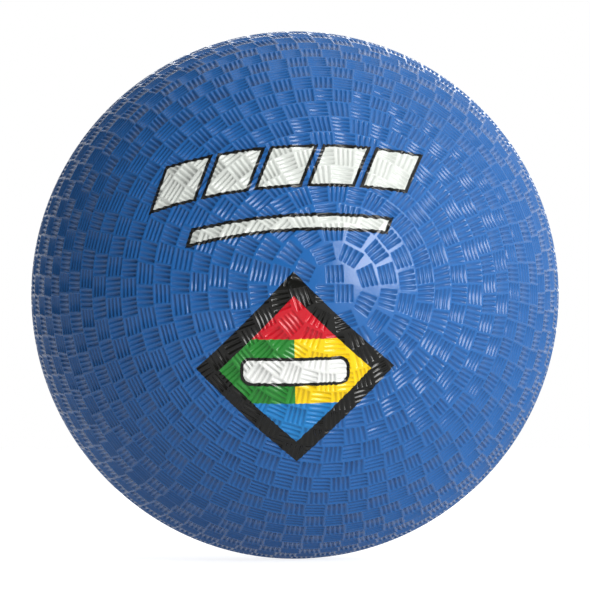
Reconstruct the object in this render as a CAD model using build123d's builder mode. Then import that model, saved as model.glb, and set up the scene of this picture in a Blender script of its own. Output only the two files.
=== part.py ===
"""Inflatable rubber playground ball: bladder, winding, moulded cover, valve and printed markings.

Millimetres. The origin is the ball's centre, +Z is up, the valve faces +Y and the markings face -Y.
"""

import os

from build123d import *

# The ball's wall, from the outside in. The layers are cured together, so each starts where the last ends.
ball_diameter = 216.0
cover_thickness = 1.3
winding_thickness = 0.3
bladder_thickness = 0.8

# The valve: a rubber housing bonded to the bladder, with a self-closing plug pushed into it.
patch_diameter = 38.0
patch_thickness = 0.6
flange_diameter = 26.0
flange_thickness = 1.0
neck_diameter = 9.0
stem_diameter = 11.0
stem_length = 14.0
face_recess = 0.5
core_diameter = 5.2
core_length = 13.0
core_clearance = 0.05
bulb_diameter = 7.0
bulb_length = 2.4
bulb_height = 2.0
needle_bore_diameter = 2.2
needle_guide_length = 4.0
mouth_chamfer = 0.5

# The markings: films of ink on the cover, pressed on along one meridian, each facing out at its own elevation.
ink_thickness = 0.1
print_azimuth = -8.2
print_roll = 1.0
outline_width = 1.3

diamond_elevation = -17.7
diamond_side = 54.6
border_width = 6.4
band_height = 26.0
bar_length = 40.0
bar_height = 9.0
bar_corner = 3.0

title_elevation = 26.3
title_tilt = 3.0
title_shift = -3.5
block_count = 5
block_width = 16.0
block_height = 16.4
block_gap = 4.6
block_slant = 22.0
stripe_length = 76.0
stripe_height = 4.4
stripe_drop = 23.8

# Radii and heights that follow from the sizes above.
ball_radius = ball_diameter / 2
winding_radius = ball_radius - cover_thickness
bladder_radius = winding_radius - winding_thickness
patch_radius = bladder_radius - bladder_thickness
flange_radius = patch_radius - patch_thickness
flange_inside = flange_radius - flange_thickness
flange_middle = flange_radius - flange_thickness / 2
stem_bottom = flange_inside - stem_length
valve_face = ball_radius - face_recess
core_bottom = valve_face - core_length
bulb_bottom = core_bottom + bulb_height
reach = ball_radius + ink_thickness + 1.0

valve_plane = Plane(origin=(0, 0, 0), x_dir=(-1, 0, 0), z_dir=(0, 1, 0))


def facing_plane(elevation, roll):
    """The plane through the ball's centre that faces out on the print's meridian at this elevation."""
    outward = Vector(0, -1, 0).rotate(Axis.X, -elevation).rotate(Axis.Z, print_azimuth)
    across = Vector(1, 0, 0).rotate(Axis.Z, print_azimuth)
    return Plane(origin=(0, 0, 0), x_dir=across, z_dir=outward).rotated((0, 0, roll))


def hollow_ball(outer_radius, inner_radius):
    """A spherical shell between two radii, in the part that is being built."""
    Sphere(outer_radius)
    Sphere(inner_radius, mode=Mode.SUBTRACT)


def valve_hole():
    """The hole that the neck of the valve housing fills, through the wall on the +Y side."""
    with BuildSketch(valve_plane) as hole:
        Circle(neck_diameter / 2)
    extrude(hole.sketch, amount=reach, mode=Mode.SUBTRACT)


def ink_film():
    """Ink over the whole ball, which a marking's outline then cuts to shape."""
    hollow_ball(ball_radius + ink_thickness, ball_radius)


def core_profile(clearance):
    """Half the plug's section, to revolve about +Y: a straight plug with a round bulb near its foot."""
    half_plug = core_diameter / 2 + clearance
    half_bulb = bulb_diameter / 2 + clearance
    foot = core_bottom - clearance
    bulb_low = bulb_bottom - clearance
    bulb_high = bulb_bottom + bulb_length + clearance
    with BuildLine(Plane.XY) as half_section:
        Polyline((0, foot), (half_plug, foot), (half_plug, bulb_low))
        ThreePointArc(
            (half_plug, bulb_low),
            (half_bulb, (bulb_low + bulb_high) / 2),
            (half_plug, bulb_high),
        )
        Polyline((half_plug, bulb_high), (half_plug, valve_face), (0, valve_face), (0, foot))
    make_face(half_section.edges())


def diamond(side):
    """A square that stands on its corner."""
    Rectangle(side, side, rotation=45)


def bar(margin, mode=Mode.ADD):
    """The rounded bar across the diamond, grown by a margin."""
    width = bar_length + 2 * margin
    height = bar_height + 2 * margin
    RectangleRounded(width, height, bar_corner + margin, mode=mode)


def slanted(width, height, x, y, mode=Mode.ADD):
    """A block with level top and foot and slanted ends, centred on (x, y)."""
    lean = Vector(0, height / 2, 0).rotate(Axis.Z, -block_slant).X
    with Locations((x, y)):
        Polygon(
            (-width / 2 - lean, -height / 2),
            (width / 2 - lean, -height / 2),
            (width / 2 + lean, height / 2),
            (-width / 2 + lean, height / 2),
            align=None,
            mode=mode,
        )


def outlined(width, height, x, y):
    """The outline round a slanted block, with the block itself left open."""
    slanted(width, height, x, y)
    offset(amount=outline_width, kind=Kind.INTERSECTION)
    slanted(width, height, x, y, mode=Mode.SUBTRACT)


# Cover: natural rubber, moulded over the wound bladder and cured in a two-part mould.
with BuildPart() as cover:
    hollow_ball(ball_radius, winding_radius)
    valve_hole()
cover.part.label = "cover"

# Winding: nylon thread laid over the bladder in all directions until it makes one even skin.
with BuildPart() as nylon_winding:
    hollow_ball(winding_radius, bladder_radius)
    valve_hole()
nylon_winding.part.label = "nylon_winding"

# Bladder: butyl rubber, the airtight inner ball.
with BuildPart() as bladder:
    hollow_ball(bladder_radius, patch_radius)
    valve_hole()
bladder.part.label = "bladder"

# Patch: a disc of rubber on the bladder's inside that spreads the pull of the valve.
with BuildPart() as valve_patch:
    hollow_ball(patch_radius, flange_radius)
    with BuildSketch(valve_plane):
        Circle(patch_diameter / 2)
    extrude(amount=reach, mode=Mode.INTERSECT)
    valve_hole()
valve_patch.part.label = "valve_patch"

# Housing: flange against the patch, neck out through the wall, stem hanging into the ball.
with BuildPart() as valve_housing:
    hollow_ball(flange_radius, flange_inside)
    with BuildSketch(valve_plane):
        Circle(flange_diameter / 2)
    extrude(amount=reach, mode=Mode.INTERSECT)
    with BuildSketch(valve_plane.offset(stem_bottom)):
        Circle(stem_diameter / 2)
    extrude(amount=flange_middle - stem_bottom)
    with BuildSketch(valve_plane.offset(flange_middle)):
        Circle(neck_diameter / 2)
    extrude(amount=valve_face - flange_middle)
    with BuildSketch(Plane.XY):
        core_profile(core_clearance)
    revolve(axis=Axis.Y, mode=Mode.SUBTRACT)
valve_housing.part.label = "valve_housing"

# Plug: soft rubber with a blind guide for the inflating needle. The slit below the guide closes itself.
with BuildPart() as valve_core:
    with BuildSketch(Plane.XY):
        core_profile(0)
    revolve(axis=Axis.Y)
    with BuildSketch(valve_plane.offset(valve_face)):
        Circle(needle_bore_diameter / 2)
    extrude(amount=-(needle_guide_length + mouth_chamfer), mode=Mode.SUBTRACT)
    mouth = valve_core.edges().filter_by(GeomType.CIRCLE).group_by(Axis.Y)[-1].sort_by(SortBy.RADIUS)[0]
    chamfer(mouth, mouth_chamfer)
valve_core.part.label = "valve_core"

pieces = [cover, nylon_winding, bladder, valve_patch, valve_housing, valve_core]

# Diamond: a black border round four colour fields in bands, with a white bar across the middle.
diamond_plane = facing_plane(diamond_elevation, print_roll)
field_side = diamond_side - 2 * border_width

with BuildPart() as diamond_border:
    ink_film()
    with BuildSketch(diamond_plane):
        diamond(diamond_side)
        Rectangle(field_side, field_side, rotation=45, mode=Mode.SUBTRACT)
    extrude(amount=reach, mode=Mode.INTERSECT)
diamond_border.part.label = "diamond_border"
pieces.append(diamond_border)

# Each field is the part of the diamond inside one box, given by its low and high corner.
side_band = band_height / 2
fields = {
    "diamond_red_field": ((-field_side, side_band), (field_side, field_side)),
    "diamond_green_field": ((-field_side, -side_band), (0, side_band)),
    "diamond_yellow_field": ((0, -side_band), (field_side, side_band)),
    "diamond_blue_field": ((-field_side, -field_side), (field_side, -side_band)),
}
for name, (low, high) in fields.items():
    with BuildPart() as field:
        ink_film()
        with BuildSketch(diamond_plane):
            diamond(field_side)
            with Locations(((low[0] + high[0]) / 2, (low[1] + high[1]) / 2)):
                Rectangle(high[0] - low[0], high[1] - low[1], mode=Mode.INTERSECT)
            bar(outline_width, mode=Mode.SUBTRACT)
        extrude(amount=reach, mode=Mode.INTERSECT)
    field.part.label = name
    pieces.append(field)

with BuildPart() as bar_outline:
    ink_film()
    with BuildSketch(diamond_plane):
        bar(outline_width)
        bar(0, mode=Mode.SUBTRACT)
    extrude(amount=reach, mode=Mode.INTERSECT)
bar_outline.part.label = "diamond_bar_outline"
pieces.append(bar_outline)

with BuildPart() as bar_face:
    ink_film()
    with BuildSketch(diamond_plane):
        bar(0)
    extrude(amount=reach, mode=Mode.INTERSECT)
bar_face.part.label = "diamond_bar"
pieces.append(bar_face)

# Title: a row of plain slanted blocks, each with its outline, and a thin stripe below them.
title_plane = facing_plane(title_elevation, title_tilt)
block_pitch = block_width + block_gap

for i in range(block_count):
    block_x = title_shift + (i - (block_count - 1) / 2) * block_pitch
    with BuildPart() as block:
        ink_film()
        with BuildSketch(title_plane):
            slanted(block_width, block_height, block_x, 0)
        extrude(amount=reach, mode=Mode.INTERSECT)
    block.part.label = f"title_block_{i + 1}"
    with BuildPart() as outline:
        ink_film()
        with BuildSketch(title_plane):
            outlined(block_width, block_height, block_x, 0)
        extrude(amount=reach, mode=Mode.INTERSECT)
    outline.part.label = f"title_outline_{i + 1}"
    pieces += [block, outline]

with BuildPart() as stripe:
    ink_film()
    with BuildSketch(title_plane):
        slanted(stripe_length, stripe_height, title_shift, -stripe_drop)
    extrude(amount=reach, mode=Mode.INTERSECT)
stripe.part.label = "title_stripe"
pieces.append(stripe)

with BuildPart() as stripe_outline:
    ink_film()
    with BuildSketch(title_plane):
        outlined(stripe_length, stripe_height, title_shift, -stripe_drop)
    extrude(amount=reach, mode=Mode.INTERSECT)
stripe_outline.part.label = "title_stripe_outline"
pieces.append(stripe_outline)

os.makedirs("parts", exist_ok=True)
for piece in pieces:
    export_step(piece.part, f"parts/{piece.part.label}.step")
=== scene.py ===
import math

import bpy
import numpy as np
import mathutils
from mathutils.geometry import delaunay_2d_cdt
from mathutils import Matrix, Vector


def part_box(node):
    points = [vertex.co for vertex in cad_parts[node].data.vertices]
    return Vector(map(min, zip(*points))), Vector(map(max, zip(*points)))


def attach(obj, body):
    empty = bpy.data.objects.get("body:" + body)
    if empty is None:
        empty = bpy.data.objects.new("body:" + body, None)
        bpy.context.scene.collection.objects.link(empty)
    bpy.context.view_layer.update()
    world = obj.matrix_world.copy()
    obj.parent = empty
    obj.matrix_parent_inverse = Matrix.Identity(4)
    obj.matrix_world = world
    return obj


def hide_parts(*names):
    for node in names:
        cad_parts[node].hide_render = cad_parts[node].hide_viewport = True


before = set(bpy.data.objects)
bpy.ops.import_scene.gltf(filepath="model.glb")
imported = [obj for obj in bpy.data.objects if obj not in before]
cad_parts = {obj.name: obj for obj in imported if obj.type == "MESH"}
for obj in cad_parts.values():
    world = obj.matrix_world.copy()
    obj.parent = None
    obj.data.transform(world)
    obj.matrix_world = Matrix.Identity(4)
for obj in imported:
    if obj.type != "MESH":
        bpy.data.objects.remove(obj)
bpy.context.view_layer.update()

# --------------------------------------------------------------------------------------------------
# COVER, its shape. The real cover is blue rubber, moulded over the wound bladder and cured in a
# two-part mould, with a tread of small basket-weave tiles in rings round each half's pole. Each
# half is a crown and a rim, closed shells that meet on smooth land between two rings of tiles.
# --------------------------------------------------------------------------------------------------
mm, mm_per_metre = 0.001, 1000.0
ball_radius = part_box("cover")[1][2]
inner_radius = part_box("nylon_winding")[1][2]
neck_radius = 4.5 * mm  # the hole round the valve

tile = 8.15 * mm  # one cell of the tread, land included
land_gap = 0.16 * mm  # between the edges of two tiles' own grids
loose_scale = 0.91  # the size of a loose tile near a pole to one in a ring
groove_count = 4
groove_points = 6  # across one groove and its rib
groove_pitch = 1.95 * mm
groove_depth = 0.66 * mm
groove_end = 0.18 * mm  # from the cell's edge to where a groove begins
groove_ramp = 0.42 * mm  # length of the slope at a groove's end

# How far the mould cutter's hand strays: the usual and the greatest error.
side_stray, side_limit = 0.04, 0.09  # millimetres across a groove
end_stray = 0.20 * mm  # the most that a groove starts or ends short
depth_stray, depth_limits = 0.12, (0.6, 1.25)  # in groove depths
turn_stray, turn_limit = 0.012, 0.02  # radians

cap_angle = math.radians(17.85)  # inside this angle the tiles are loose squares
bands = (2, 2, 2, 3, 3, 5)  # rings that keep one number of tiles, from the pole to the parting line
ring_count = sum(bands)
rim_rings = 7
ring_stray = 0.07  # how far a ring is turned from its band, in cells
ring_wave = 0.12 * mm  # how far the line between two rings wanders
lean_sizes = (0.2, 0.7)  # how far a ring's tiles lean over, in millimetres
any_phase = (0, 6.28)  # where a wave may start, in radians

parting_land = 0.7 * mm  # smooth strip beside the parting line, which stands a little proud
parting_height = 0.08 * mm
tread_end = math.pi / 2 - parting_land / ball_radius
ring_height = (tread_end - cap_angle) / ring_count
split_angle = tread_end - rim_rings * ring_height
seam_points = 720  # corners on the line where two shells meet
rng = np.random.default_rng(8)


def on_ball(theta, phi, radius):
    """Points at an angle theta from the half's own pole and phi round it: radius times
    (sin theta cos phi, -cos theta, sin theta sin phi). The pole points along -Y."""
    across = np.sin(theta)
    directions = np.stack([across * np.cos(phi), -np.cos(theta), across * np.sin(phi)], -1)
    return directions * np.asarray(radius)[..., None]


def grooved_tiles(count):
    """count tiles as grids of points, 6 along the grooves by 27 across them. Returns across and
    along, in metres from the cell's corner, and depth below the land. Across the tile the depth is
    a cosine wave, so ribs and grooves are round; along a groove it falls over a short ramp at each
    end. Every groove is a little off its place, length and depth, as in a hand-cut mould."""
    wave = np.arange(-groove_points // 2, groove_points // 2) / groove_points
    centres = tile / 2 + (np.arange(groove_count) - (groove_count - 1) / 2) * groove_pitch
    columns = (centres[:, None] + wave * groove_pitch).ravel()
    profile = np.tile(0.5 + 0.5 * np.cos(2 * math.pi * wave), groove_count)
    owner = np.repeat(np.arange(groove_count), len(wave))
    last_rib, edge = centres[-1] + groove_pitch / 2, tile - land_gap / 2
    columns = np.concatenate([[land_gap / 2], columns, [last_rib, edge]])
    profile = np.concatenate([[0.0], profile, [0.0, 0.0]])
    owner = np.concatenate([owner[:1], owner, owner[-1:], owner[-1:]])
    rows = np.array([land_gap / 2, groove_end, groove_end + groove_ramp])
    rows = np.concatenate([rows, tile - rows[::-1]])
    cut = np.array([0.0, 0.0, 1.0, 1.0, 0.0, 0.0])

    side_shift = rng.normal(0.0, side_stray, (count, groove_count)).clip(-side_limit, side_limit)
    side_shift = side_shift[:, owner] * mm
    end_shift = rng.uniform(0.0, end_stray, (count, 2, groove_count))[:, :, owner]
    deep = rng.normal(1.0, depth_stray, (count, groove_count)).clip(*depth_limits)[:, owner]
    turn = rng.normal(0.0, turn_stray, count).clip(-turn_limit, turn_limit)[:, None, None]

    across = np.broadcast_to(columns, (count, len(rows), len(columns))).copy()
    along = np.broadcast_to(rows[:, None], across.shape).copy()
    inner = slice(1, -1)
    across[:, :, inner] += side_shift[:, None, inner]
    along[:, 1:3, inner] += end_shift[:, :1, inner]
    along[:, 3:5, inner] -= end_shift[:, 1:, inner]
    inside = np.zeros(across.shape[1:])
    inside[inner, inner] = 1.0
    from_middle = along - tile / 2
    along = along - inside * turn * (across - tile / 2)
    across = across + inside * turn * from_middle
    depth = profile * cut[:, None] * deep[:, None, :] * groove_depth
    return across, along, depth


class Shell:
    """The points and faces of one shell as they are added: theta, phi, depth below the land and
    radius of each point, and faces of four and of three corners."""

    def __init__(self):
        self.theta, self.phi, self.depth, self.radius = [], [], [], []
        self.quads, self.tris, self.count = [], [], 0

    def add(self, theta, phi, depth=0.0, radius=ball_radius):
        """Adds an array of points and returns their numbers in the same shape."""
        shape = np.broadcast(theta, phi, depth).shape
        size = int(np.prod(shape))
        self.theta.append(np.broadcast_to(theta, shape).ravel())
        self.phi.append(np.broadcast_to(phi, shape).ravel())
        self.depth.append(np.broadcast_to(depth, shape).ravel())
        self.radius.append(np.broadcast_to(radius, shape).ravel())
        self.count += size
        return np.arange(self.count - size, self.count).reshape(shape)

    def grid(self, ids):
        """Faces over grids of points (..., rows, columns): rows run away from the pole, columns
        round it."""
        four = (ids[..., :-1, :-1], ids[..., 1:, :-1], ids[..., 1:, 1:], ids[..., :-1, 1:])
        self.quads.append(np.stack(four, -1).reshape(-1, 4))

    def zip(self, a, b, at_a, at_b, inward=False):
        """Triangles between two rows of points a and b with rising places at_a and at_b. Each next
        triangle takes the row whose next edge has its middle first. Seen from outside, a runs down
        with b on its right hand."""
        mid_a, mid_b = (at_a[1:] + at_a[:-1]) / 2, (at_b[1:] + at_b[:-1]) / 2
        i, j = np.arange(len(mid_a)), np.arange(len(mid_b))
        on_b, on_a = np.searchsorted(mid_b, mid_a, "left"), np.searchsorted(mid_a, mid_b, "right")
        order = slice(None, None, -1 if inward else 1)
        down_a = (a[..., i], a[..., i + 1], b[..., on_b])
        up_b = (b[..., j + 1], b[..., j], a[..., on_a])
        for corners in (down_a, up_b):
            self.tris.append(np.stack(corners, -1).reshape(-1, 3)[:, order])

    def join(self, upper, lower, inward=False):
        """Zips two closed rows of points round the pole, each an (ids, phi) pair; lower is further
        from the pole."""
        (up, up_phi), (down, down_phi) = upper, lower
        start, turn, slack = down_phi[0], 2 * math.pi, 1e-4
        order = np.argsort((up_phi - start + slack) % turn, kind="stable")
        up, turned = up[order], start - slack + (up_phi[order] - start + slack) % turn
        up, turned = np.append(up, up[0]), np.append(turned, turned[0] + turn)
        down, down_phi = np.append(down, down[0]), np.append(down_phi, down_phi[0] + turn)
        self.zip(down, up, down_phi, turned, inward)

    def theta_of(self, ids):
        """The theta of some of the points."""
        return np.concatenate(self.theta)[ids]

    def circle(self, theta, points, depth=0.0, radius=ball_radius):
        """A closed row of evenly spaced points at one theta."""
        phi = np.arange(points) * (2 * math.pi / points)
        return self.add(np.full(points, theta), phi, depth, radius), phi


def wobble(k):
    """A smooth wander of the line above ring k, as a function of phi, in radians of theta: the sum
    of three sine waves of 2 to 8 turns. The first and the last line are true circles."""
    draw = np.random.default_rng(100 + k)
    waves, starts = draw.integers(2, 9, 3), draw.uniform(*any_phase, 3)
    size = ring_wave / ball_radius * (0 < k < ring_count)
    return lambda phi: size * sum(np.sin(w * phi + s) for w, s in zip(waves, starts))


def tread_ring(shell, k, half):
    """Ring k of one half: tiles with their grooves towards the pole turn about with tiles whose
    grooves run round it, and the next ring is one tile on, as in a basket. phi = start + (cell +
    across) * pitch + lean, theta = top + down * height. Rings of one band share their number of
    tiles and where they start, but for a small shift. Returns the upper and the lower row of
    points."""
    band = int(np.searchsorted(np.cumsum(bands), k, "right"))
    first, last = sum(bands[:band]), sum(bands[: band + 1])
    top, middle = cap_angle + k * ring_height, cap_angle + (first + last) / 2 * ring_height
    cells = 2 * round(math.pi * ball_radius * math.sin(middle) / tile)
    pitch = 2 * math.pi / cells
    draw = np.random.default_rng(1000 * half + band)
    start = draw.uniform(0, 2 * pitch) + (k % 2) * pitch
    lean_size, lean_waves = draw.uniform(*lean_sizes) * mm, draw.integers(1, 4)
    lean_start = draw.uniform(*any_phase)
    start += np.random.default_rng(1000 * half + 50 + k).normal(0, ring_stray) * pitch
    ring_radius = ball_radius * math.sin(top + ring_height / 2)
    above, below = wobble(k), wobble(k + 1)
    rows = []
    for kind in (0, 1):
        across, along, depth = grooved_tiles(cells // 2)
        if kind == 0:
            s, t = across, along
        else:
            s, t, depth = along.swapaxes(1, 2), across.swapaxes(1, 2), depth.swapaxes(1, 2)
        cell = 2 * np.arange(cells // 2)[:, None, None] + kind
        phi = start + (cell + s / tile) * pitch
        down = t / tile
        lean = lean_size * np.sin(lean_waves * phi + lean_start) / ring_radius
        theta = top + ring_height * down + above(phi) * (1 - down) + below(phi) * down
        phi = phi + lean * (down - 0.5) * 2
        ids = shell.add(theta, phi, depth)
        shell.grid(ids)
        rows.append((ids, phi, down))
    (a, a_phi, a_down), (b, b_phi, b_down) = rows
    at_a, at_b = a_down[0, :, 0], b_down[0, :, 0]
    shell.zip(a[:, :, -1], b[:, :, 0], at_a, at_b)
    shell.zip(b[:, :, -1], np.roll(a[:, :, 0], -1, 0), at_b, at_a)
    return [
        (np.hstack([a[:, e], b[:, e]]).ravel(), np.hstack([a_phi[:, e], b_phi[:, e]]).ravel())
        for e in (0, -1)
    ]


def tile_places(rings):
    """Where the loose tiles round a pole stand, as rows of x, y, turn and flare. A ring is its
    middle's radius, its number of tiles, whose grooves point at the pole and round it by turns, and
    how much wider a tile's outer edge is than its inner one."""
    ring_twist, random_twist = 0.35, 0.5  # how far a ring is turned from the one outside it
    angle_stray, out_stray, roll_stray = 0.004, 0.03 * mm, 0.02
    places = []
    for n, (middle, cells, flare) in enumerate(rings):
        cell = np.arange(cells)
        angle = 2 * math.pi / cells * cell + rng.normal(0, angle_stray, cells)
        angle = angle + ring_twist * n + rng.uniform(0, random_twist)
        out = middle + rng.normal(0, out_stray, cells)
        turn = angle + (cell % 2) * (math.pi / 2) + rng.normal(0, roll_stray, cells)
        x, y = out * np.cos(angle), out * np.sin(angle)
        places.append(np.stack([x, y, turn, np.full(cells, flare)], 1))
    return np.concatenate(places)


def cap_tiles(shell, places, first_row, hole):
    """The loose tiles round a pole: near squares, so that wedges of smooth land stay between them.
    A point's place round the pole is stretched by 1 + flare * (half + outwards), from a tile's
    inner edge to its outer one. The land is the flat map of the cap, with the tiles cut out,
    divided into Delaunay triangles. hole is the closed row of points round a plain centre, or
    None."""
    loops = [first_row] + ([hole] if hole else [])
    flat = [
        np.stack([np.cos(phi), np.sin(phi)], -1) * (shell.theta_of(ids) * ball_radius)[:, None]
        for ids, phi in loops
    ]
    numbers = [ids for ids, _ in loops]
    across, along, depth = grooved_tiles(len(places))
    x, y = (along - tile / 2) * loose_scale, (across - tile / 2) * loose_scale
    left, front, turn, flare = places.T[:, :, None, None]
    away = np.arctan2(front, left)
    outwards = x * np.cos(turn - away) - y * np.sin(turn - away)
    round_it = x * np.sin(turn - away) + y * np.cos(turn - away)
    round_it = round_it * (1 + flare * (0.5 + outwards / (tile * loose_scale)))
    p = left + outwards * np.cos(away) - round_it * np.sin(away)
    q = front + outwards * np.sin(away) + round_it * np.cos(away)
    ids = shell.add(np.hypot(p, q) / ball_radius, np.arctan2(q, p), depth)
    shell.grid(ids)
    sides = [ids[:, :, 0], ids[:, -1, 1:], ids[:, -2::-1, -1], ids[:, 0, -2:0:-1]]
    border = np.concatenate(sides, 1)
    local = border - ids.reshape(len(places), -1)[:, :1]
    flat_points = np.stack([p, q], -1).reshape(len(places), -1, 2)
    flat += list(np.take_along_axis(flat_points, local[..., None], 1))
    numbers += list(border)
    sizes = np.cumsum([0] + [len(n) for n in numbers])
    faces = [list(range(a, b)) for a, b in zip(sizes[:-1], sizes[1:])]
    in_millimetres = (np.concatenate(flat) * mm_per_metre).tolist()
    inside_outline, closeness = 1, 1e-7
    found = delaunay_2d_cdt(in_millimetres, [], faces, inside_outline, closeness, True)
    numbers = np.concatenate(numbers)
    back = np.array([numbers[origin[0]] for origin in found[3]])
    land = [face for face, origin in zip(found[2], found[5]) if list(origin) == [0]]
    shell.tris.append(back[np.array(land)])


def closed(ids):
    """A closed row of points with its first point repeated at the end."""
    return np.append(ids, ids[0])


inside_points = 96  # round the hidden inside, and round the valve's place
crown_inside_rings, rim_inside_rings = 9, 4


def inside(shell, low, high, edge_row):
    """The cover's hidden inside: coarse rings of points from theta low to high, and on to edge_row,
    a row of the shell's edge wall. Returns the first ring."""
    steps = np.linspace(low, high, crown_inside_rings + 1)[:-1]
    rings = [shell.circle(theta, inside_points, radius=inner_radius) for theta in steps]
    for nearer_pole, further in zip(rings, rings[1:] + [edge_row]):
        shell.join(nearer_pole, further, inward=True)
    return rings[0]


def valve_boss(shell):
    """The smooth round place that the valve sits in, as rings of points: land, a shallow pan, a lip
    and the hole's rounded edge. A step is how far out it lies and how deep, in millimetres. Returns
    the outer row and the row at the hole."""
    hole_edge = [(4.5, 0.40), (4.55, 0.15), (4.8, 0.02), (5.1, 0.0)]
    lip_to_pan = [(6.3, 0.0), (6.6, 0.06), (6.9, 0.26), (7.2, 0.32)]
    pan_to_land = [(12.2, 0.32), (12.5, 0.26), (12.8, 0.06), (13.1, 0.0), (14.7, 0.0)]
    rings = [
        shell.circle(out * mm / ball_radius, inside_points, deep * mm)
        for out, deep in hole_edge + lip_to_pan + pan_to_land
    ]
    shell.grid(np.stack([closed(ids) for ids, _ in rings]))
    return rings[-1], rings[0]


def tread_rings(shell, numbers, half):
    """Rings of tiles one after the other, joined by the land between them."""
    rows = [tread_ring(shell, k, half) for k in numbers]
    for upper, lower in zip(rows[:-1], rows[1:]):
        shell.join(upper[1], lower[0])
    return rows


def crown(half, back):
    """The part of one half round its pole, as a closed shell."""
    shell = Shell()
    rows = tread_rings(shell, range(ring_count - rim_rings), half)
    seam = shell.circle(split_angle, seam_points)
    shell.join(rows[-1][1], seam)
    under = shell.circle(split_angle, seam_points, radius=inner_radius)
    shell.grid(np.stack([closed(seam[0]), closed(under[0])]))
    if back:
        outer, edge = valve_boss(shell)
        cap_tiles(shell, tile_places(cap_rings[:2]), rows[0][0], outer)
        first = inside(shell, neck_radius / inner_radius, split_angle, under)
        shell.grid(np.stack([closed(first[0]), closed(edge[0])]))
    else:
        places = np.concatenate([tile_places(cap_rings), middle_tiles])
        cap_tiles(shell, places, rows[0][0], None)
        first = inside(shell, neck_radius / inner_radius, split_angle, under)
        pole = np.repeat(shell.add(np.zeros(1), 0.0, 0.0, inner_radius), len(first[0]))
        shell.tris.append(np.stack([pole, np.roll(first[0], -1), first[0]], -1))
    return shell


def rim(half):
    """The part of one half next to the parting line, as a closed shell."""
    shell = Shell()
    rows = tread_rings(shell, range(ring_count - rim_rings, ring_count), half)
    seam = shell.circle(split_angle, seam_points)
    foot = shell.circle(math.pi / 2 - parting_land / 2 / ball_radius, seam_points)
    parting = shell.circle(math.pi / 2, seam_points, -parting_height)
    shell.join(seam, rows[0][0])
    shell.join(rows[-1][1], foot)
    shell.grid(np.stack([closed(foot[0]), closed(parting[0])]))
    under = shell.circle(split_angle, seam_points, radius=inner_radius)
    far = shell.circle(math.pi / 2, seam_points, radius=inner_radius)
    shell.grid(np.stack([closed(under[0]), closed(seam[0])]))
    shell.grid(np.stack([closed(parting[0]), closed(far[0])]))
    steps = np.linspace(split_angle, math.pi / 2, rim_inside_rings + 2)[1:-1]
    rings = [shell.circle(theta, inside_points, radius=inner_radius) for theta in steps]
    for nearer_pole, further in zip([under] + rings, rings + [far]):
        shell.join(nearer_pole, further, inward=True)
    return shell


def flat_map(shell, quads, tris, low, high, middle):
    """Where each corner of the faces lies on the piece's own square map: theta from low to high
    becomes a disc, or a ring from middle outwards, with the hidden inside as a small copy in the
    corner or in the ring's hole, and the edge walls as thin rings."""
    theta, radius = np.concatenate(shell.theta), np.concatenate(shell.radius)
    hidden = radius < (ball_radius + inner_radius) / 2
    share = ((theta - low) / (high - low)).clip(0, 1)
    map_middle, disc_size, corner_middle, corner_size = 0.5, 0.475, 0.08, 0.07
    hole_start, hole_size = 0.04, 0.12
    outer_wall, inner_wall = (0.481, 0.008), (0.004, 0.006)  # where a wall's edge is, and its width
    outside_size = middle + (disc_size - middle) * share
    inside_size = corner_size * share if middle == 0 else hole_start + hole_size * share
    size = np.where(hidden, inside_size, outside_size)
    centre = np.where(hidden & (middle == 0), corner_middle, map_middle)
    wall = np.repeat(hidden[quads].any(1) & ~hidden[quads].all(1), 4)
    wall = np.concatenate([wall, np.zeros(tris.size, bool)])
    near_rim = outer_wall[0] + outer_wall[1] * hidden
    near_pole = outside_size - inner_wall[0] - inner_wall[1] * hidden
    corners = np.concatenate([quads.ravel(), tris.ravel()])
    thin = np.where(share > 0.5, near_rim, near_pole)[corners]
    size = np.where(wall, thin, size[corners])
    centre = np.where(wall, map_middle, centre[corners])
    turn = np.concatenate(shell.phi)[corners]
    return np.stack([centre + size * np.cos(turn), centre + size * np.sin(turn)], -1)


sharp_angle = math.radians(72)  # a steeper turn between two faces is a crisp edge


def make_piece(shell, name, back, low, high, middle):
    """Makes a shell a piece. back turns it half round +Z, to the valve's side. The tread attribute
    is 1 on a groove's floor and 0 on land."""
    theta, phi = np.concatenate(shell.theta), np.concatenate(shell.phi)
    depth, radius = np.concatenate(shell.depth), np.concatenate(shell.radius)
    points = on_ball(theta, phi, radius - depth)
    points = points * (np.array([-1.0, -1.0, 1.0]) if back else 1.0)
    quads, tris = np.concatenate(shell.quads), np.concatenate(shell.tris)
    corners = np.concatenate([quads.ravel(), tris.ravel()])
    starts = [np.arange(len(quads)) * 4, len(quads) * 4 + np.arange(len(tris)) * 3]
    starts = np.concatenate(starts)
    mesh = bpy.data.meshes.new(name)
    mesh.vertices.add(len(points))
    mesh.vertices.foreach_set("co", points.ravel())
    mesh.loops.add(len(corners))
    mesh.loops.foreach_set("vertex_index", corners)
    mesh.polygons.add(len(starts))
    mesh.polygons.foreach_set("loop_start", starts)
    mesh.polygons.foreach_set("use_smooth", np.ones(len(starts), bool))
    mesh.update(calc_edges=True)
    tread_values = (depth / groove_depth).clip(0, 1)
    mesh.attributes.new("tread", "FLOAT", "POINT").data.foreach_set("value", tread_values)
    places = flat_map(shell, quads, tris, low, high, middle).astype(np.float32)
    mesh.uv_layers.new(name="OFBake").uv.foreach_set("vector", places.ravel())
    mesh.set_sharp_from_angle(angle=sharp_angle)
    piece = bpy.data.objects.new(name, mesh)
    bpy.context.scene.collection.objects.link(piece)
    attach(piece, "root")
    return piece


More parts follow.
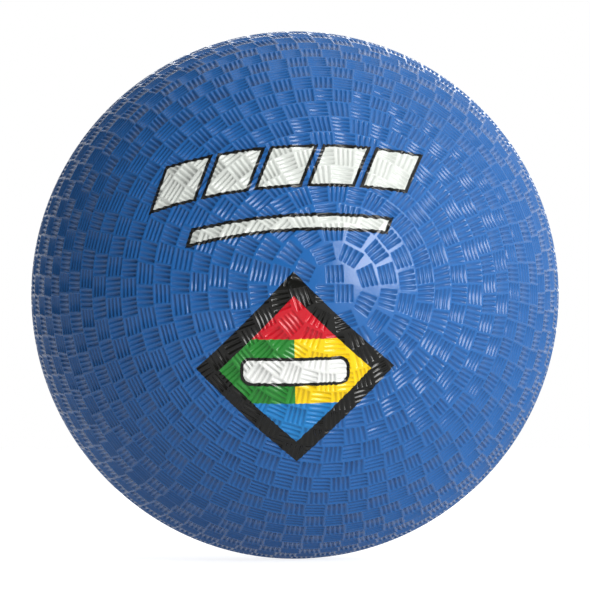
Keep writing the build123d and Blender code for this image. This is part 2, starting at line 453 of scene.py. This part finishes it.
cap_rings = [(29.5 * mm, 20, 0.30), (21.6 * mm, 14, 0.28), (13.4 * mm, 8, 0.32)]
middle_tiles = [
    (-3.8 * mm, -2.35 * mm, 0.0, 0.0),
    (3.8 * mm, -2.35 * mm, 1.57, 0.0),
    (0.0, 5.2 * mm, 1.6, 0.0),
]
rim_hole = 0.25  # the size of the hole in a rim's map, which holds its inside
cover_pieces = [
    make_piece(crown(1, False), "cover_front_crown", False, 0.0, split_angle, 0.0),
    make_piece(rim(1), "cover_front_rim", False, split_angle, math.pi / 2, rim_hole),
    make_piece(rim(2), "cover_back_rim", True, split_angle, math.pi / 2, rim_hole),
    make_piece(crown(2, True), "cover_back_crown", True, 0.0, split_angle, 0.0),
]
print_nodes = [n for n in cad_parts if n.startswith(("diamond", "title"))]
for piece in cover_pieces:
    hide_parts("cover")
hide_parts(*print_nodes)


# --------------------------------------------------------------------------------------------------
# COVER, its finish. Blue rubber straight from the mould, satin, a little dusty in the grooves and
# polished on the ribs, with painted shade darkening the grooves. The markings are ink pressed on
# over
# the tread: a row of slanted blocks with a stripe, and a colour diamond.
# --------------------------------------------------------------------------------------------------
class Flow:
    """A value on its way through a material. Arithmetic on it adds Math nodes."""

    def __init__(self, finish, socket):
        self.finish, self.socket = finish, socket

    def math(self, operation, *others, clamp=False):
        settings = {"operation": operation, "use_clamp": clamp}
        return self.finish.add("ShaderNodeMath", 0, settings, dict(enumerate((self, *others))))

    def __add__(self, other):
        return self.math("ADD", other)

    __radd__ = __add__

    def __mul__(self, other):
        return self.math("MULTIPLY", other)

    __rmul__ = __mul__

    def __sub__(self, other):
        return self.math("SUBTRACT", other)

    def __rsub__(self, other):
        return self.finish.add("ShaderNodeMath", 0, {"operation": "SUBTRACT"}, {0: other, 1: self})

    def __truediv__(self, other):
        return self.math("DIVIDE", other)

    def __abs__(self):
        return self.math("ABSOLUTE")

    def at_least(self, other):
        return self.math("MAXIMUM", other)

    def at_most(self, other):
        return self.math("MINIMUM", other)

    def clamped(self):
        return self.math("ADD", 0.0, clamp=True)


class Finish:
    """A material being made: a Principled shader, and the nodes that feed it."""

    def __init__(self, name, **sockets):
        self.material = bpy.data.materials.new(name)
        self.material.use_nodes = True
        self.tree = self.material.node_tree
        self.shader = self.tree.nodes["Principled BSDF"]
        self.place = self.add("ShaderNodeTexCoord", "Object", {}, {})
        self.feed(**sockets)

    def add(self, kind, output, settings, inputs):
        """Adds a node, sets it up, fills its inputs with values or flows, and returns one output
        as a flow."""
        node = self.tree.nodes.new(kind)
        for name, value in settings.items():
            setattr(node, name, value)
        for key, value in inputs.items():
            if isinstance(value, Flow):
                self.tree.links.new(value.socket, node.inputs[key])
            else:
                node.inputs[key].default_value = value
        return Flow(self, node.outputs[output])

    def feed(self, **sockets):
        """Feeds the shader's sockets, named with _ for a space. A flow is linked, a value set."""
        for name, value in sockets.items():
            socket = self.shader.inputs[name.replace("_", " ")]
            if isinstance(value, Flow):
                self.tree.links.new(value.socket, socket)
            else:
                is_colour = isinstance(value, tuple) and len(value) == 3
                socket.default_value = (*value, 1.0) if is_colour else value

    def noise(self, per_metre, detail=2.0, rough=0.5):
        """Smooth noise from 0 to 1 with this many lumps to a metre."""
        inputs = {"Vector": self.place, "Scale": per_metre, "Detail": detail, "Roughness": rough}
        return self.add("ShaderNodeTexNoise", "Fac", {}, inputs)

    def mix(self, share, a, b):
        """Colour a going over to b by share. A Mix node's colours have sockets of their own."""
        first, second, result = 6, 7, 2
        a, b = ((*c, 1.0) if isinstance(c, tuple) else c for c in (a, b))
        inputs = {0: share, first: a, second: b}
        return self.add("ShaderNodeMix", result, {"data_type": "RGBA"}, inputs)

    def along(self, direction):
        """How far a point lies along a direction, in millimetres."""
        inputs = {0: self.place, 1: tuple(mm_per_metre * d for d in direction)}
        return self.add("ShaderNodeVectorMath", "Value", {"operation": "DOT_PRODUCT"}, inputs)

    def bump(self, height, strength, distance):
        """A Bump node's normal for a height from 0 to 1."""
        inputs = {"Height": height, "Strength": strength, "Distance": distance}
        return self.add("ShaderNodeBump", 0, {}, inputs)

    def wear(self, piece):
        """Puts the finish on a piece in place of what it had."""
        piece.data.materials.clear()
        piece.data.materials.append(self.material)


print_azimuth, print_roll = -8.2, 1.0  # degrees; all sizes of the markings are in millimetres
outline_width = 1.3
diamond_elevation, diamond_side, border_width, band_height = -17.7, 54.6, 6.4, 26.0
bar_length, bar_height, bar_corner = 40.0, 9.0, 3.0
title_elevation, title_tilt, title_shift = 26.3, 3.0, -3.5
block_count, block_width, block_height, block_gap, block_slant = 5, 16.0, 16.4, 4.6, 22.0
stripe_length, stripe_height, stripe_drop = 76.0, 4.4, 23.8
ink_softness = 0.10
fine_wander, long_wander, groove_bleed = 0.30, 0.25, 0.06  # how far an ink's edge strays
print_side = 40.0  # a marking lies only this far and further out, so not on the ball's other side

blue_rubber = (0.015, 0.125, 0.400)
deep_blue = tuple(0.82 * c for c in blue_rubber)
pale_blue = (blue_rubber[0] * 1.3, blue_rubber[1] * 1.16, blue_rubber[2] * 1.12)
# painted shade: a darker blue that stands in for the shade down in the grooves
painted_groove_shade = (0.006, 0.040, 0.150)
black_ink, white_ink, grey_ink = (0.004, 0.004, 0.003), (0.82, 0.83, 0.80), (0.66, 0.69, 0.65)
red_ink, green_ink = (0.57, 0.006, 0.018), (0.020, 0.230, 0.030)
yellow_ink, blue_ink = (0.92, 0.62, 0.004), (0.012, 0.200, 0.520)
scuff_grey, dust_grey = (0.42, 0.50, 0.56), (0.30, 0.30, 0.28)

cover = Finish("blue_cover_rubber", IOR=1.5, Specular_IOR_Level=0.42)
tread = cover.add("ShaderNodeAttribute", "Fac", {"attribute_name": "tread"}, {})
cloudy = cover.noise(22.0, 3.0)
lumpy = cover.noise(140.0, 4.0, 0.6)
grainy = cover.noise(1500.0, 3.0, 0.65)

# Rubber: slow clouds from mixing, a grain from the mould, and painted shade down in the grooves.
colour = cover.mix((cloudy * 0.7 + grainy * 0.3).clamped(), deep_blue, pale_blue)
# Painted shade: the deeper a point lies in a groove, the darker the blue it is painted.
colour = cover.mix((tread * 0.36).clamped(), colour, painted_groove_shade)

# Ink edges wander a little and break at the grooves.
fine, long_waves = cover.noise(1100.0, 2.0) - 0.5, cover.noise(250.0, 1.0) - 0.5
ragged = fine * fine_wander + long_waves * long_wander + tread * groove_bleed


def marking_plane(elevation, roll):
    """The plane of a marking pressed on at this elevation on the print's meridian: how far a point
    lies across and up in it, in millimetres, and 1 on the side of the ball that it faces."""
    a, e, r = (math.radians(d) for d in (print_azimuth, elevation, roll))
    out = np.array([math.sin(a) * math.cos(e), -math.cos(a) * math.cos(e), math.sin(e)])
    level = np.array([math.cos(a), math.sin(a), 0.0])
    rising = np.cross(out, level)
    across = level * math.cos(r) + rising * math.sin(r)
    up = rising * math.cos(r) - level * math.sin(r)
    return cover.along(across), cover.along(up), cover.along(out).math("GREATER_THAN", print_side)


def inked(distance, front):
    """1 where distance, in millimetres from the marking's edge, is below zero and the point faces
    out: a half less (distance + ragged) / (2 * ink_softness), kept from 0 to 1."""
    inside_edge = 0.5 - (distance + ragged) / (2 * ink_softness)
    return inside_edge.at_least(0.0).at_most(1.0) * front


x, y, front = marking_plane(title_elevation, title_tilt)
x = x - title_shift
slope = math.tan(math.radians(block_slant))
stretch = 1 / math.cos(math.radians(block_slant))
pitch = block_width + block_gap
leaned = x - y * slope
nearest = (leaned / pitch).math("ROUND").at_least(-(block_count // 2)).at_most(block_count // 2)
beside = abs(leaned - nearest * pitch)
stripe_y = y + stripe_drop
along_stripe = abs(x - stripe_y * slope)
title_shapes = []
for margin, ink_colour in ((outline_width, black_ink), (0.0, grey_ink)):
    wide, tall = block_width / 2 + margin * stretch, block_height / 2 + margin
    block = (beside - wide).at_least(abs(y) - tall)
    long, thin = stripe_length / 2 + margin * stretch, stripe_height / 2 + margin
    stripe = (along_stripe - long).at_least(abs(stripe_y) - thin)
    title_shapes.append(inked(block.at_most(stripe), front))
    colour = cover.mix(title_shapes[-1], colour, ink_colour)

x, y, front = marking_plane(diamond_elevation, print_roll)
squared = (abs(x) + abs(y)) / math.sqrt(2)
diamond_shape = inked(squared - diamond_side / 2, front)
field = inked(squared - diamond_side / 2 + border_width, front)
colour = cover.mix(diamond_shape, colour, black_ink)
sides = cover.mix(inked(x, front), yellow_ink, green_ink)
fields = cover.mix(inked(y + band_height / 2, front), sides, blue_ink)
fields = cover.mix(inked(band_height / 2 - y, front), fields, red_ink)
colour = cover.mix(field, colour, fields)
past_x = (abs(x) - (bar_length / 2 - bar_corner)).at_least(0.0)
past_y = (abs(y) - (bar_height / 2 - bar_corner)).at_least(0.0)
past_bar = (past_x * past_x + past_y * past_y).math("SQRT")
for margin, ink_colour in ((outline_width, black_ink), (0.0, white_ink)):
    colour = cover.mix(inked(past_bar - (bar_corner + margin), front), colour, ink_colour)

# Handling: grey scuffs rub the ribs and a film of dust dulls the grooves, on ink and rubber alike.
ink = title_shapes[0].at_least(diamond_shape)
scuff_start, scuff_gain, most_scuff = 0.62, 3.0, 0.05
scuffs = (lumpy * 0.6 + grainy * 0.4) - scuff_start
scuffs = scuffs.at_least(0.0) * scuff_gain * (1.0 - tread)
colour = cover.mix(scuffs.at_most(most_scuff), colour, scuff_grey)
colour = cover.mix((tread * 0.02 * lumpy).clamped(), colour, dust_grey)
roughness = 0.15 + lumpy * 0.08 + tread * 0.12 - ink * 0.03 + scuffs * 0.2
cover.feed(Base_Color=colour, Roughness=roughness.clamped())
cover.feed(Normal=cover.bump(grainy * 0.7 + ink * 0.3, 0.35, 0.12 * mm))
for piece in cover_pieces:
    cover.wear(piece)


# --------------------------------------------------------------------------------------------------
# VALVE. A soft blue rubber plug bonded into the bladder through the cover, and a plain grey rubber
# core pushed into it, which a pump's needle opens. Both are the CAD nodes, moulded parts: smooth,
# matt, with a little talc from the mould.
# --------------------------------------------------------------------------------------------------
def moulded_rubber(name, dark, light, grain_per_metre):
    """A plain moulded rubber between two colours, with talc lying in the hollows of its grain."""
    talc_level, talc_gain, most_talc, talc_white = 0.46, 2.4, 0.5, (0.55, 0.55, 0.52)
    rubber = Finish(name, IOR=1.5, Specular_IOR_Level=0.4)
    clouds = rubber.noise(grain_per_metre * 0.12, 3.0)
    grain = rubber.noise(grain_per_metre, 3.0, 0.6)
    talc = (talc_level - grain).at_least(0.0) * talc_gain * clouds
    shade = rubber.mix((clouds * 0.6 + grain * 0.4).clamped(), dark, light)
    rubber.feed(
        Base_Color=rubber.mix(talc.at_most(most_talc), shade, talc_white),
        Roughness=(0.46 + grain * 0.18 + talc * 0.3).clamped(),
        Normal=rubber.bump(grain, 0.3, 0.1 * mm),
    )
    return rubber


valve_blue, core_grey = (0.012, 0.060, 0.190), (0.016, 0.016, 0.017)
valve_rubber = moulded_rubber("valve_rubber", valve_blue, (0.022, 0.095, 0.280), 2600.0)
core_rubber = moulded_rubber("core_rubber", core_grey, (0.040, 0.040, 0.041), 3200.0)
valve_rubber.wear(bpy.data.objects["valve_housing"])
core_rubber.wear(bpy.data.objects["valve_core"])

# --------------------------------------------------------------------------------------------------
# INSIDE. A black butyl bladder holds the air, with the valve's patch vulcanised to it, and fine
# nylon thread is wound over it in every direction and stuck down with latex, which keeps the ball
# round. All three are the CAD nodes with a finish.
# --------------------------------------------------------------------------------------------------
butyl_black, patch_black = (0.010, 0.010, 0.011), (0.020, 0.020, 0.021)
butyl = moulded_rubber("bladder_butyl", butyl_black, (0.026, 0.026, 0.028), 700.0)
patch_rubber = moulded_rubber("patch_rubber", patch_black, (0.045, 0.044, 0.043), 1400.0)
butyl.wear(bpy.data.objects["bladder"])
patch_rubber.wear(bpy.data.objects["valve_patch"])

nylon = Finish("wound_nylon", IOR=1.53, Specular_IOR_Level=0.45)
lumps_per_metre = 900.0
band_scale = lumps_per_metre / 6.283  # a Wave node's scale for threads about 2.2 mm apart
winding_turns = ((0.0, 0.0, 0.0), (1.1, 0.4, 0.2), (0.3, 1.3, 0.9), (2.0, 0.8, 1.7))  # radians
wave = {"Scale": band_scale, "Distortion": 1.2, "Detail": 1.0, "Detail Scale": 0.4}
lay = nylon.noise(lumps_per_metre, 1.0) * 0.4
for turn in winding_turns:
    inputs = {"Vector": nylon.place, "Rotation": turn}
    turned = nylon.add("ShaderNodeMapping", "Vector", {}, inputs)
    inputs = {"Vector": turned, **wave}
    lay = nylon.add("ShaderNodeTexWave", "Fac", {"bands_direction": "X"}, inputs).at_least(lay)
latex = nylon.noise(60.0, 3.0)
fluff = nylon.noise(2500.0, 2.0)
yarn_shade, yarn_light, latex_amber = (0.30, 0.27, 0.21), (0.78, 0.75, 0.66), (0.62, 0.52, 0.34)
yarn = nylon.mix((lay * 0.8 + fluff * 0.2).clamped(), yarn_shade, yarn_light)
nylon.feed(
    Base_Color=nylon.mix((latex * 0.4).clamped(), yarn, latex_amber),
    Roughness=(0.62 - latex * 0.2 + fluff * 0.1).clamped(),
    Normal=nylon.bump(lay, 0.5, 0.15 * mm),
)
nylon.wear(bpy.data.objects["nylon_winding"])


# --------------------------------------------------------------------------------------------------
# STAGE. A plain white floor under the ball, a large soft lamp to its right, a weak one over it and
# one low behind it, and a long lens level with the ball, a little to the side of the mould's pole.
# --------------------------------------------------------------------------------------------------
def aimed(obj, place, target):
    """Puts a lamp or camera at a place, looking at a target. Both look along their own -Z."""
    obj.location = place
    away = obj.location - mathutils.Vector(target)
    obj.rotation_euler = away.to_track_quat("Z", "Y").to_euler()


def towards(azimuth, elevation):
    """The direction of a place seen from the ball, in degrees round from -Y towards +X, and up."""
    a, e = math.radians(azimuth), math.radians(elevation)
    return mathutils.Vector((math.sin(a) * math.cos(e), -math.cos(a) * math.cos(e), math.sin(e)))


ball_centre = (0, 0, 0)
floor_half, floor_gap = 6.0, 0.1 * mm
square = [(-1, -1), (1, -1), (1, 1), (-1, 1)]
corners = [(x * floor_half, y * floor_half, -ball_radius - floor_gap) for x, y in square]
floor_mesh = bpy.data.meshes.new("floor")
floor_mesh.from_pydata(corners, [], [(0, 1, 2, 3)])
floor = bpy.data.objects.new("floor", floor_mesh)
bpy.context.scene.collection.objects.link(floor)
paper = Finish("white_paper", Roughness=0.9, Specular_IOR_Level=0.1, Base_Color=(0.40, 0.40, 0.40))
light_it_gives, white_it_shows = (0.34, 0.34, 0.34), (0.85, 0.85, 0.85)
looked_at = paper.add("ShaderNodeLightPath", "Is Camera Ray", {}, {})
glow = paper.mix(looked_at, light_it_gives, white_it_shows)
paper.feed(Emission_Color=glow, Emission_Strength=1.0)
paper.wear(floor)

camera_azimuth, camera_elevation, camera_distance = -8.2, -1.6, 1.8
for name, azimuth, elevation, distance, size, power in (
    ("key", 33.0, 15.0, 1.6, 0.75, 20.8),
    ("top", 10.0, 68.0, 1.6, 0.8, 2.5),
    ("back", 178.0, 12.0, 1.7, 0.8, 6.0),
):
    lamp = bpy.data.lights.new(name, "AREA")
    lamp.shape, lamp.size, lamp.energy = "SQUARE", size, power
    lamp_object = bpy.data.objects.new(name, lamp)
    lamp_object.visible_camera = False
    bpy.context.scene.collection.objects.link(lamp_object)
    aimed(lamp_object, distance * towards(camera_azimuth + azimuth, elevation), ball_centre)

# The studio is white on the right and behind, and dark in front and on the left.
dark_side = 55.0  # degrees from the camera round to the left
darkest, brightest = 0.13, 0.98
dark_from, dark_to = -0.8, 0.6  # how far a direction points to the dark side
world = bpy.data.worlds.new("studio")
bpy.context.scene.world = world
world.use_nodes = True
nodes, links = world.node_tree.nodes, world.node_tree.links
sky = nodes["Background"]
place = nodes.new("ShaderNodeTexCoord")
dot, level = nodes.new("ShaderNodeVectorMath"), nodes.new("ShaderNodeMapRange")
dot.operation = "DOT_PRODUCT"
dot.inputs[1].default_value = towards(camera_azimuth - dark_side, 0.0)
links.new(place.outputs["Generated"], dot.inputs[0])
links.new(dot.outputs["Value"], level.inputs["Value"])
level.interpolation_type = "SMOOTHSTEP"
level.inputs["From Min"].default_value, level.inputs["From Max"].default_value = dark_from, dark_to
level.inputs["To Min"].default_value, level.inputs["To Max"].default_value = brightest, darkest
path, seen = nodes.new("ShaderNodeLightPath"), nodes.new("ShaderNodeMix")
links.new(path.outputs["Is Camera Ray"], seen.inputs["Factor"])
links.new(level.outputs["Result"], seen.inputs["A"])
seen.inputs["B"].default_value = 1.0
links.new(seen.outputs["Result"], sky.inputs["Strength"])
sky.inputs["Color"].default_value = (1.0, 1.0, 1.0, 1.0)

frame_fill = 0.894  # the ball's width as a share of the frame's
camera = bpy.data.cameras.new("camera")
camera.sensor_width = 36.0
half_width = ball_radius / math.sqrt(camera_distance**2 - ball_radius**2) / frame_fill
camera.lens = camera.sensor_width / 2 / half_width
camera_object = bpy.data.objects.new("camera", camera)
bpy.context.scene.collection.objects.link(camera_object)
camera_place = camera_distance * towards(camera_azimuth, camera_elevation)
aimed(camera_object, camera_place, ball_centre)
bpy.context.scene.camera = camera_object
bpy.context.scene.view_settings.view_transform = "Standard"
